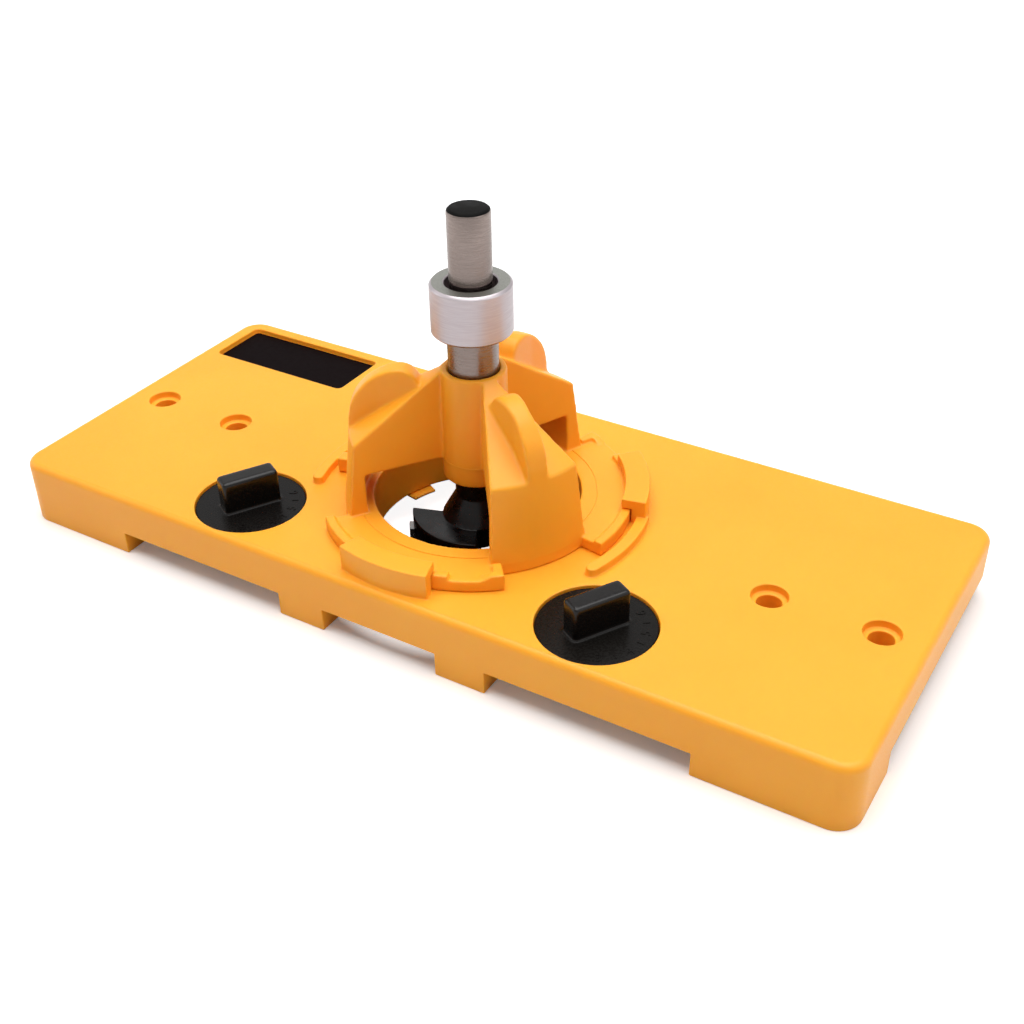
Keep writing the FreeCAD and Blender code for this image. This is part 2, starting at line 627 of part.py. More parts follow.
def all_pieces():
    """Every piece of the jig by its node name."""
    pieces = {"base_plate": base_plate(), "label_inlay": label_inlay(), "drill_guide": drill_guide(),
              "bit_shaft": bit_shaft(), "bit_head": bit_head(), "stop_collar": stop_collar(),
              "collar_set_screw": collar_set_screw()}
    for number in (0, 1):
        pieces["cutter_tip_%d" % (number + 1)] = on_wing(cutter_tip(), number)
        pieces["spur_tip_%d" % (number + 1)] = on_wing(spur_tip(), number)
    pieces.update(dial_pieces(-1, "left"))
    pieces.update(dial_pieces(1, "right"))
    return pieces


os.makedirs("parts", exist_ok=True)
for node, shape in all_pieces().items():
    if len(shape.Solids) != 1 or not shape.isValid():
        raise ValueError(node + " is not one valid solid")
    shape.Solids[0].exportStep("parts/" + node + ".step")
    print(node, round(shape.Volume), len(shape.Faces))
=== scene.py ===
import logging
import math
from dataclasses import dataclass
from enum import Enum
from typing import Callable, Dict, Optional, Sequence, Tuple

import bmesh
import bpy
from mathutils import Matrix, Vector


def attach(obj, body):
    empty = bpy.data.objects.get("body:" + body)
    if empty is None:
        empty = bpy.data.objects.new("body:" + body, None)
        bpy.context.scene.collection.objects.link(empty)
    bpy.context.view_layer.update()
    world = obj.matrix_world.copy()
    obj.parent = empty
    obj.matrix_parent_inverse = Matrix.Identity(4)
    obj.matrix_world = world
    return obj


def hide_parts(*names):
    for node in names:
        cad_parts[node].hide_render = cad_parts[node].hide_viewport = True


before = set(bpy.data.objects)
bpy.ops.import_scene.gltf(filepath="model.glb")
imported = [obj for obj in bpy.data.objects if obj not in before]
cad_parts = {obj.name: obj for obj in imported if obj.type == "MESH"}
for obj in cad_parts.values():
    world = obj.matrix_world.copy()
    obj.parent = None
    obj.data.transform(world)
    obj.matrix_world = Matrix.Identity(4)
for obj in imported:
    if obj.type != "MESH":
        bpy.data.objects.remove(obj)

log = logging.getLogger("jig")
MM = 0.001
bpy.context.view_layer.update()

Node = bpy.types.Node
Socket = bpy.types.NodeSocket
Material = bpy.types.Material
Object = bpy.types.Object
Mesh = bpy.types.Mesh
Tree = bpy.types.NodeTree
Pair = Tuple[float, float]
Triple = Tuple[float, float, float]


def srgb(code: str) -> Tuple[float, float, float, float]:
    """Turn an sRGB hex colour into the linear colour that Blender's sockets take.

    Args:
        code: Six hex digits with a leading hash.

    Returns:
        Linear red, green, blue and an alpha of 1.
    """
    parts = [int(code[i:i + 2], 16) / 255 for i in (1, 3, 5)]
    linear = [c / 12.92 if c <= 0.04045 else ((c + 0.055) / 1.055) ** 2.4 for c in parts]
    return (linear[0], linear[1], linear[2], 1.0)


def add_node(tree: Tree, kind: str, inputs: Optional[dict] = None, **settings: object) -> Node:
    """Add one node, set its properties and feed its inputs.

    Args:
        tree: The node tree that gets the node.
        kind: The node's type name.
        inputs: Socket name or number, with a value or the output socket to link from.
        settings: Properties of the node itself.

    Returns:
        The new node.
    """
    node = tree.nodes.new(kind)
    for name, value in settings.items():
        setattr(node, name, value)
    for key, value in (inputs or {}).items():
        if isinstance(value, Socket):
            tree.links.new(value, node.inputs[key])
        else:
            node.inputs[key].default_value = value
    return node


def maths(tree: Tree, operation: str, *values: object) -> Socket:
    """Add one Math node.

    Args:
        tree: The node tree that gets the node.
        operation: What it works out.
        values: Its inputs in order, each a number or an output socket.

    Returns:
        Its output socket.
    """
    return add_node(tree, "ShaderNodeMath", dict(enumerate(values)), operation=operation).outputs[0]


class Side(Enum):
    """The two halves of the plate, each with one dial; the value is its sign along X."""

    LEFT = -1
    RIGHT = 1


@dataclass(frozen=True)
class Finish:
    """A material finish: what the surface is made of and how it was made."""

    name: str
    colour: str
    roughness: float

    def build(self) -> Material:
        """Make the Blender material of this finish.

        Returns:
            The finished material.
        """
        material = bpy.data.materials.new(self.name)
        material.use_nodes = True
        material.diffuse_color = srgb(self.colour)
        tree = material.node_tree
        tree.nodes.clear()
        shader = add_node(tree, "ShaderNodeBsdfPrincipled",
                          {"Base Color": srgb(self.colour), "Roughness": self.roughness})
        self.dress(tree, shader)
        add_node(tree, "ShaderNodeOutputMaterial", {"Surface": shader.outputs[0]})
        return material

    def dress(self, tree: Tree, shader: Node) -> None:
        """Add the finish's own pattern; a plain finish has none."""

    def places(self, tree: Tree, scale: Triple = (1, 1, 1)) -> Socket:
        """Object coordinates in metres, stretched for a grain that has a direction.

        Args:
            tree: The material's tree.
            scale: Factor on each axis.

        Returns:
            The coordinate output.
        """
        coordinates = add_node(tree, "ShaderNodeTexCoord")
        mapping = add_node(tree, "ShaderNodeMapping",
                           {"Vector": coordinates.outputs["Object"], "Scale": scale})
        return mapping.outputs[0]

    def vary(self, tree: Tree, shader: Node, source: Socket, socket: str,
             low: object, high: object, start: float = 0.35, end: float = 0.65) -> None:
        """Let one shader input follow a pattern between two values.

        Args:
            tree: The material's tree.
            shader: The shader whose input is fed.
            source: The pattern, from 0 to 1.
            socket: Name of the shader's input.
            low: Value or colour where the pattern is at start.
            high: Value or colour where it is at end.
            start: Lower end of the pattern's used range.
            end: Upper end of it.
        """
        if isinstance(low, tuple):
            share = add_node(tree, "ShaderNodeMapRange", {"Value": source, 1: start, 2: end})
            mix = add_node(tree, "ShaderNodeMix", {0: share.outputs[0], 6: low, 7: high},
                           data_type="RGBA")
            tree.links.new(mix.outputs[2], shader.inputs[socket])
        else:
            ranged = add_node(tree, "ShaderNodeMapRange",
                              {"Value": source, 1: start, 2: end, 3: low, 4: high})
            tree.links.new(ranged.outputs[0], shader.inputs[socket])


@dataclass(frozen=True)
class MouldedPlastic(Finish):
    """Injection moulded ABS: soft, wide highlights and a clean hue; with a glow, light sinks in.

    The real spark-eroded texture of about 0.05 mm is drawn far coarser so that it shows.
    """

    deep_colour: str = "#000000"
    grain_mm: float = 0.45
    grain_height_mm: float = 0.012
    cloud_mm: float = 38.0
    glow: float = 0.0
    glow_mm: float = 1.5
    glow_reach: Triple = (1.0, 0.35, 0.08)
    gloss_level: float = 0.5
    gloss_spread: float = 0.05
    ior: float = 1.53

    def dress(self, tree: Tree, shader: Node) -> None:
        """Slow colour drift, a satin grain in gloss and height, and light that sinks in."""
        places = self.places(tree)
        cloud = add_node(tree, "ShaderNodeTexNoise",
                         {"Vector": places, "Scale": 1 / (self.cloud_mm * MM), "Detail": 2.0})
        grain = add_node(tree, "ShaderNodeTexNoise",
                         {"Vector": places, "Scale": 1 / (self.grain_mm * MM), "Detail": 1.0})
        self.vary(tree, shader, cloud.outputs[0], "Base Color",
                  srgb(self.deep_colour), srgb(self.colour))
        self.vary(tree, shader, grain.outputs[0], "Roughness",
                  self.roughness - self.gloss_spread, self.roughness + self.gloss_spread)
        bump = add_node(tree, "ShaderNodeBump",
                        {"Height": grain.outputs[0], "Distance": self.grain_height_mm * MM,
                         "Strength": 0.5})
        tree.links.new(bump.outputs[0], shader.inputs["Normal"])
        shader.inputs["IOR"].default_value = self.ior
        shader.inputs["Specular IOR Level"].default_value = self.gloss_level
        if self.glow:
            shader.inputs["Subsurface Weight"].default_value = self.glow
            shader.inputs["Subsurface Radius"].default_value = self.glow_reach
            shader.inputs["Subsurface Scale"].default_value = self.glow_mm * MM


@dataclass(frozen=True)
class MachinedSteel(Finish):
    """Bare steel, ground or turned: fine rings and streaks soften its reflections."""

    dark_colour: str = "#808080"
    groove_mm: float = 0.5
    groove_height_mm: float = 0.003
    along: float = 0.04

    def dress(self, tree: Tree, shader: Node) -> None:
        """Rings round the axis, drawn coarser than real ones of 0.05 mm so that they show."""
        shader.inputs["Metallic"].default_value = 1.0
        places = self.places(tree, (self.along, self.along, 1.0))
        rings = add_node(tree, "ShaderNodeTexNoise",
                         {"Vector": places, "Scale": 1 / (self.groove_mm * MM), "Detail": 3.0})
        self.vary(tree, shader, rings.outputs[0], "Base Color",
                  srgb(self.dark_colour), srgb(self.colour), 0.2, 0.7)
        self.vary(tree, shader, rings.outputs[0], "Roughness",
                  self.roughness + 0.08, self.roughness - 0.05)
        bump = add_node(tree, "ShaderNodeBump",
                        {"Height": rings.outputs[0], "Distance": self.groove_height_mm * MM,
                         "Strength": 0.6})
        tree.links.new(bump.outputs[0], shader.inputs["Normal"])


@dataclass(frozen=True)
class BlackenedSteel(Finish):
    """Steel with a thin black coat: nearly black, with tight highlights on its edges."""

    worn_colour: str = "#3a3632"
    patch_mm: float = 3.0
    patch_height_mm: float = 0.01
    gloss_level: float = 0.15
    ior: float = 1.6

    def dress(self, tree: Tree, shader: Node) -> None:
        """Slightly worn patches with a little less gloss."""
        places = self.places(tree)
        patch = add_node(tree, "ShaderNodeTexNoise",
                         {"Vector": places, "Scale": 1 / (self.patch_mm * MM), "Detail": 4.0})
        self.vary(tree, shader, patch.outputs[0], "Base Color",
                  srgb(self.colour), srgb(self.worn_colour), 0.45, 0.8)
        self.vary(tree, shader, patch.outputs[0], "Roughness",
                  self.roughness, self.roughness + 0.15)
        shader.inputs["IOR"].default_value = self.ior
        shader.inputs["Specular IOR Level"].default_value = self.gloss_level
        bump = add_node(tree, "ShaderNodeBump",
                        {"Height": patch.outputs[0], "Distance": self.patch_height_mm * MM,
                         "Strength": 0.4})
        tree.links.new(bump.outputs[0], shader.inputs["Normal"])


# ABS as moulded, bright orange: satin, with a warm glow at thin edges.
ORANGE_ABS = MouldedPlastic("orange_abs_moulded", "#fbaa2c", 0.42, deep_colour="#f9a527",
                            grain_mm=0.5, glow=0.3, glow_mm=2.2, gloss_level=0.3)
# ABS as moulded, black: the disc and the cam, deep black with a faint sheen.
BLACK_ABS = MouldedPlastic("black_abs_moulded", "#12100e", 0.28, deep_colour="#0e0c0b",
                           grain_mm=0.6, grain_height_mm=0.01, gloss_level=0.08)
# ABS from a polished part of the mould: the knob, with clearer highlights than its disc.
BLACK_KNOB = MouldedPlastic("polished_black_abs_knob", "#0f0c0a", 0.2, deep_colour="#0c0a08",
                            grain_mm=0.8, grain_height_mm=0.002, gloss_level=0.2)
# Printed plastic inlay: flat black without a highlight.
BLACK_FILM = MouldedPlastic("black_plastic_inlay", "#0e0708", 0.4, deep_colour="#0b0506",
                            grain_mm=1.2, gloss_level=0.01)
# Steel ground round its axis: warm grey, with fine rings that blur what it mirrors.
GROUND_STEEL = MachinedSteel("ground_steel_shaft", "#7e726d", 0.27, dark_colour="#736863",
                             groove_mm=0.15, groove_height_mm=0.0008)
# Steel turned with a fine feed: paler and more matt than the shaft.
TURNED_STEEL = MachinedSteel("satin_turned_steel_collar", "#aaa2a5", 0.38, dark_colour="#a0989b",
                             groove_mm=0.2, groove_height_mm=0.001)
# The collar's faced end, its upward faces: a little more matt, and darker and greener as a painted
# reflection of a dim sky above.
FACED_STEEL_PAINTED_REFLECTION = MachinedSteel("faced_steel_collar_end", "#8a8a84", 0.42, dark_colour="#7b7b75",
                            groove_mm=0.3, groove_height_mm=0.001, along=1.0)
# Scale from hardening, left on the end of the shank: dull black.
SCALED_STEEL = BlackenedSteel("hardening_scale_on_shank_end", "#070606", 0.45,
                              worn_colour="#12110f", gloss_level=0.03)
# Zinc plating on the washers and screws: a pale, slightly cool grey.
ZINC_STEEL = MachinedSteel("zinc_plated_steel", "#c2c2bd", 0.35, dark_colour="#a6a6a0",
                           groove_mm=0.8)
# Ground carbide: mid grey with sharp reflections.
CARBIDE = MachinedSteel("ground_carbide_tip", "#8e8c8a", 0.25, dark_colour="#6e6c6a",
                        groove_mm=0.3)
# The cutter's black coat: nearly black, with tight highlights on its edges.
BLACK_STEEL = BlackenedSteel("black_coated_cutter_steel", "#070505", 0.22, worn_colour="#120f0d")
# Black oxide on the grub screw: a duller black.
BLACK_SCREW = BlackenedSteel("black_oxide_screw_steel", "#14120f", 0.4)


class Paintbox:
    """Hands out each finish's material, made once."""

    def __init__(self) -> None:
        """Start with no materials."""
        self._made: Dict[str, Material] = {}

    def material(self, finish: Finish) -> Material:
        """The material of a finish, made at its first use."""
        if finish.name not in self._made:
            self._made[finish.name] = finish.build()
        return self._made[finish.name]

    def dress(self, thing: Object, finish: Finish) -> None:
        """Give an object one material in place of all it had."""
        thing.data.materials.clear()
        thing.data.materials.append(self.material(finish))


def plain_mesh(thing: Object) -> Mesh:
    """The mesh of an object with its modifiers applied."""
    bpy.context.view_layer.update()
    graph = bpy.context.evaluated_depsgraph_get()
    return bpy.data.meshes.new_from_object(thing.evaluated_get(graph), depsgraph=graph)


def new_object(name: str, mesh: Mesh) -> Object:
    """Put a mesh in the scene as an object at the origin."""
    thing = bpy.data.objects.new(name, mesh)
    bpy.context.scene.collection.objects.link(thing)
    return thing


def settle(thing: Object) -> Object:
    """Replace an object's mesh by what its modifiers make, and drop them.

    Args:
        thing: An object at the origin.

    Returns:
        The same object.
    """
    mesh = plain_mesh(thing)
    thing.modifiers.clear()
    thing.data = mesh
    return thing


def merged_copy(node: str, name: str) -> Object:
    """Copy a CAD node with its loose triangles joined into clean faces.

    Args:
        node: Name of the CAD node.
        name: Name of the new object.

    Returns:
        The new object, in the node's place.
    """
    work = bmesh.new()
    work.from_mesh(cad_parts[node].data)
    bmesh.ops.remove_doubles(work, verts=work.verts, dist=0.002 * MM)
    mesh = bpy.data.meshes.new(name)
    work.to_mesh(mesh)
    work.free()
    mesh.shade_smooth()
    return new_object(name, mesh)


class EdgeRoom:
    """Finds how wide each sharp edge can be rounded before it meets the next sharp edge."""

    def __init__(self, work: bmesh.types.BMesh, angle: float) -> None:
        """Collect the sharp edges of each flat face.

        Args:
            work: The mesh, with its flat areas merged.
            angle: Edges that turn by more than this many degrees are sharp.
        """
        limit = math.radians(angle)
        self.sharp = [e for e in work.edges
                      if len(e.link_faces) == 2 and e.calc_face_angle(0.0) > limit]
        self.planes: Dict[tuple, list] = {}
        for edge in self.sharp:
            for face in edge.link_faces:
                self.planes.setdefault(self.plane(face), []).append(edge)

    def plane(self, face: bmesh.types.BMFace) -> tuple:
        """A key that all faces in one plane share."""
        n = face.normal
        offset_mm = n.dot(face.verts[0].co) / MM
        return (round(n.x, 2), round(n.y, 2), round(n.z, 2), round(offset_mm, 1))

    def room(self, edge: bmesh.types.BMEdge) -> float:
        """Distance from an edge, across its faces, to the next sharp edge.

        Args:
            edge: A sharp edge.

        Returns:
            The distance in metres, or a large number where nothing is met.
        """
        start, along = edge.verts[0].co, edge.verts[1].co - edge.verts[0].co
        length = along.length
        along = along / length
        nearest = 1.0
        for loop in edge.link_loops:
            forward = along if loop.vert == edge.verts[0] else -along
            inward = loop.face.normal.cross(forward)
            for other in self.planes[self.plane(loop.face)]:
                if other is edge or set(other.verts) & set(edge.verts):
                    continue
                a, b = other.verts[0].co - start, other.verts[1].co - start
                xa, xb = a.dot(along), b.dot(along)
                ya, yb = a.dot(inward), b.dot(inward)
                if max(ya, yb) < 0.0 or min(ya, yb) > nearest:
                    continue
                for share in (0.15, 0.5, 0.85):
                    x = share * length
                    if (xa - x) * (xb - x) < 0:
                        y = ya + (yb - ya) * (x - xa) / (xb - xa)
                        if 1e-6 < y < nearest:
                            nearest = y
        return nearest


def soften(thing: Object, width_mm: float, segments: int = 2, angle: float = 28.0) -> Object:
    """Round a piece's edges as a mould or a tumbling drum leaves them.

    Args:
        thing: The object with sharp edges.
        width_mm: How far the rounding runs from an edge.
        segments: Faces across the rounding.
        angle: Edges that turn by more than this many degrees are rounded.

    Returns:
        The same object with a plain mesh.
    """
    work = bmesh.new()
    work.from_mesh(thing.data)
    weight = work.edges.layers.float.new("bevel_weight_edge")
    rooms = EdgeRoom(work, angle)
    widest = 1.5 * MM
    share_of_room = 0.42
    for edge in rooms.sharp:
        edge[weight] = min(width_mm * MM, share_of_room * rooms.room(edge)) / widest
    work.to_mesh(thing.data)
    work.free()
    bevel = thing.modifiers.new("edge", "BEVEL")
    bevel.width = widest
    bevel.segments = segments
    bevel.limit_method = "WEIGHT"
    bevel.use_clamp_overlap = False
    bevel.loop_slide = False
    return flatten_shading(thing)


def flatten_shading(thing: Object) -> Object:
    """Let large faces set the shading of their edges, so that flat walls look flat.

    Args:
        thing: The object, with any modifiers that shape it.

    Returns:
        The same object with a plain mesh.
    """
    weigh = thing.modifiers.new("weigh", "WEIGHTED_NORMAL")
    weigh.weight = 100
    return settle(thing)


@dataclass(frozen=True)
class Rub:
    """One pass of rounding: how often it smooths, and how strongly at each place."""

    passes: int
    share: Callable[[Vector], float]


def melt(thing: Object, voxel_mm: float, rubs: Sequence[Rub], kept: float,
         form: Optional[Callable[[Vector], Vector]] = None) -> Object:
    """Round every outer and inner edge of a moulding where walls, roofs and fins run together.

    Args:
        thing: The object with sharp edges.
        voxel_mm: Cell of the remesh, below the smallest step to be kept.
        rubs: Smoothing passes, one set after the other; the rounding grows with them.
        kept: Share of the faces that is kept, most of them at the edges.
        form: Moves a place, in millimetres, before the rounding.

    Returns:
        The same object with a plain mesh.
    """
    remesh = thing.modifiers.new("cells", "REMESH")
    remesh.mode = "VOXEL"
    remesh.voxel_size = voxel_mm * MM
    remesh.use_smooth_shade = True
    settle(thing)
    if form:
        for vertex in thing.data.vertices:
            vertex.co = form(vertex.co / MM) * MM
    for number, rub in enumerate(rubs):
        group = thing.vertex_groups.new(name="rub_%d" % number)
        for vertex in thing.data.vertices:
            share = rub.share(vertex.co / MM)
            if share > 0.0:
                group.add([vertex.index], share, "REPLACE")
        smooth = thing.modifiers.new("round_%d" % number, "SMOOTH")
        smooth.factor = 0.5
        smooth.iterations = rub.passes
        smooth.vertex_group = group.name
    thin = thing.modifiers.new("thin", "DECIMATE")
    thin.ratio = kept
    weigh = thing.modifiers.new("weigh", "WEIGHTED_NORMAL")
    weigh.weight = 50
    settle(thing)
    thing.vertex_groups.clear()
    return thing


def ramp(value: float, start: float, end: float) -> float:
    """Rise from 0 at start to 1 at end, and stay level outside."""
    return min(1.0, max(0.0, (value - start) / (end - start)))


def paint_tops(thing: Object, finish: Finish, height_mm: float, steepness: float) -> None:
    """Give the faces at a piece's upper end a finish of their own.

    Args:
        thing: The dressed object.
        finish: The finish of its end.
        height_mm: Faces whose middle is above this height are meant.
        steepness: Faces whose normal points up by at least this share are meant.
    """
    thing.data.materials.append(PAINTS.material(finish))
    for face in thing.data.polygons:
        if face.center.z > height_mm * MM and face.normal.z > steepness:
            face.material_index = 1


@dataclass
class Piece:
    """One dressed piece: which body it rides on, the CAD node it stands for and its finish."""

    body: str
    slot: str
    finish: Finish
    node: Optional[str] = None

    def install(self, thing: Object) -> None:
        """Dress the object, join it to its body and hide the CAD node it stands for."""
        PAINTS.dress(thing, self.finish)
        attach(thing, self.body)
        if self.node:
            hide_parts(self.node)
        log.info("%s: %d faces on %s", thing.name, len(thing.data.polygons), self.body)


def tree_with(name: str, kinds: Dict[str, str]) -> Tuple[Tree, Node, Node]:
    """Start a geometry tree with named inputs.

    Args:
        name: The tree's name.
        kinds: Each input's name and its kind: Float, Int or Material.

    Returns:
        The tree, its input node and its output node.
    """
    tree = bpy.data.node_groups.new(name, "GeometryNodeTree")
    face = tree.interface
    face.new_socket("Geometry", in_out="INPUT", socket_type="NodeSocketGeometry")
    face.new_socket("Geometry", in_out="OUTPUT", socket_type="NodeSocketGeometry")
    for key, kind in kinds.items():
        face.new_socket(key, in_out="INPUT", socket_type="NodeSocket" + kind)
    return tree, tree.nodes.new("NodeGroupInput"), tree.nodes.new("NodeGroupOutput")


def grow(name: str, start: Mesh, tree: Tree, sizes: Dict[str, object]) -> Object:
    """Run a geometry tree on a mesh and keep the result as a plain mesh.

    Args:
        name: Name of the new object.
        start: The mesh that the tree starts from.
        tree: The geometry tree.
        sizes: Value of each named input.

    Returns:
        The new object.
    """
    thing = new_object(name, start)
    modifier = thing.modifiers.new("grow", "NODES")
    modifier.node_group = tree
    sockets = {s.name: s.identifier for s in tree.interface.items_tree
               if s.item_type == "SOCKET" and s.in_out == "INPUT"}
    for key, value in sizes.items():
        modifier[sockets[key]] = value
    return settle(thing)


class TurnedPiece:
    """An outline of radius and height, swept round an upright axis by a geometry tree."""

    def __init__(self) -> None:
        """Build the tree once, for every turned piece."""
        kinds = {"Path Radius": "Float", "Steps": "Int", "Merge Distance": "Float",
                 "Material": "Material"}
        tree, source, result = tree_with("turned_piece", kinds)
        outline = add_node(tree, "GeometryNodeMeshToCurve", {"Mesh": source.outputs["Geometry"]})
        path = add_node(tree, "GeometryNodeCurvePrimitiveCircle",
                        {"Resolution": source.outputs["Steps"],
                         "Radius": source.outputs["Path Radius"]})
        sweep = add_node(tree, "GeometryNodeCurveToMesh",
                         {"Curve": path.outputs[0], "Profile Curve": outline.outputs[0]})
        closed = add_node(tree, "GeometryNodeMergeByDistance",
                          {"Geometry": sweep.outputs[0],
                           "Distance": source.outputs["Merge Distance"]})
        whole = add_node(tree, "GeometryNodeRealizeInstances", {"Geometry": closed.outputs[0]})
        painted = add_node(tree, "GeometryNodeSetMaterial",
                           {"Geometry": whole.outputs[0], "Material": source.outputs["Material"]})
        tree.links.new(painted.outputs[0], result.inputs[0])
        self.tree = tree

    def make(self, name: str, outline: Sequence[Pair], centre: Pair,
             finish: Finish, steps: int = 96) -> Object:
        """Turn an outline about an upright axis.

        Args:
            name: Name of the object.
            outline: Radius and height in millimetres, closed or with both ends on the axis.
            centre: X and Y of the axis in millimetres.
            finish: The finish of the piece.
            steps: Faces round the axis.

        Returns:
            The object in its place.
        """
        path = 10.0
        mesh = bpy.data.meshes.new(name)
        points = [((r - path) * MM, -z * MM, 0.0) for r, z in outline]
        edges = [(i, i + 1) for i in range(len(points) - 1)]
        if outline[0][0] > 0.001:
            edges.append((len(points) - 1, 0))
        mesh.from_pydata(points, edges, [])
        sizes = {"Path Radius": path * MM, "Steps": steps, "Merge Distance": 0.002 * MM,
                 "Material": PAINTS.material(finish)}
        thing = grow(name, mesh, self.tree, sizes)
        work = bmesh.new()
        work.from_mesh(thing.data)
        bmesh.ops.recalc_face_normals(work, faces=work.faces)
        work.transform(Matrix.Translation((centre[0] * MM, centre[1] * MM, 0)))
        work.to_mesh(thing.data)
        work.free()
        thing.data.shade_smooth()
        thing.data.set_sharp_from_angle(angle=math.radians(30))
        return thing


class RadialMarks:
    """Small raised bars set round an arc, made by a geometry tree: the scale of a dial."""

    def __init__(self) -> None:
        """Build the tree once, for both dials."""
        numbers = ("Radius", "Length", "Width", "Height", "Start", "Sweep")
        kinds = {"Count": "Int", **{key: "Float" for key in numbers}, "Material": "Material"}
        tree, source, result = tree_with("radial_marks", kinds)
        get = source.outputs
        row = add_node(tree, "GeometryNodeMeshLine", {"Count": get["Count"]}, mode="OFFSET")
        index = add_node(tree, "GeometryNodeInputIndex")
        last = maths(tree, "SUBTRACT", get["Count"], 1.0)
        share = maths(tree, "DIVIDE", index.outputs[0], last)
        angle = maths(tree, "MULTIPLY_ADD", share, get["Sweep"], get["Start"])
        x = maths(tree, "MULTIPLY", maths(tree, "COSINE", angle), get["Radius"])
        y = maths(tree, "MULTIPLY", maths(tree, "SINE", angle), get["Radius"])
        place = add_node(tree, "ShaderNodeCombineXYZ", {0: x, 1: y})
        placed = add_node(tree, "GeometryNodeSetPosition",
                          {"Geometry": row.outputs[0], "Position": place.outputs[0]})
        size = add_node(tree, "ShaderNodeCombineXYZ",
                        {0: get["Length"], 1: get["Width"], 2: get["Height"]})
        bar = add_node(tree, "GeometryNodeMeshCube", {"Size": size.outputs[0]})
        turn = add_node(tree, "ShaderNodeCombineXYZ", {2: angle})
        bars = add_node(tree, "GeometryNodeInstanceOnPoints",
                        {"Points": placed.outputs[0], "Instance": bar.outputs[0],
                         "Rotation": turn.outputs[0]})
        whole = add_node(tree, "GeometryNodeRealizeInstances", {"Geometry": bars.outputs[0]})
        painted = add_node(tree, "GeometryNodeSetMaterial",
                           {"Geometry": whole.outputs[0], "Material": get["Material"]})
        tree.links.new(painted.outputs[0], result.inputs[0])
        self.tree = tree

    def make(self, name: str, sizes: Dict[str, float],
             place: Triple) -> Object:
        """Set a row of bars round a centre.

        Args:
            name: Name of the object.
            sizes: The tree's inputs, in metres and radians.
            place: Centre of the arc, in millimetres.

        Returns:
            The object in its place.
        """
        mesh = bpy.data.meshes.new(name)
        mesh.from_pydata([(0, 0, 0)], [], [])
        thing = grow(name, mesh, self.tree, dict(sizes, Material=PAINTS.material(BLACK_ABS)))
        thing.data.transform(Matrix.Translation(Vector(place) * MM))
        return thing


PAINTS = Paintbox()
TURNED = TurnedPiece()
MARKS = RadialMarks()


@dataclass
class BasePlate:
    """The moulded plate with feet, lugs, dial wells and screw holes, and its black inlay."""

    edge_mm: float = 0.3
    inlay_edge_mm: float = 0.12

    def build(self) -> None:
        """Round the plate's moulded edges and lay in the black label."""
        plate = soften(merged_copy("base_plate", "plate_moulding"), self.edge_mm)
        Piece("base", "orange_plastic", ORANGE_ABS, "base_plate").install(plate)
        inlay = soften(merged_copy("label_inlay", "label_plate"), self.inlay_edge_mm)
        Piece("base", "black_plastic", BLACK_FILM, "label_inlay").install(inlay)


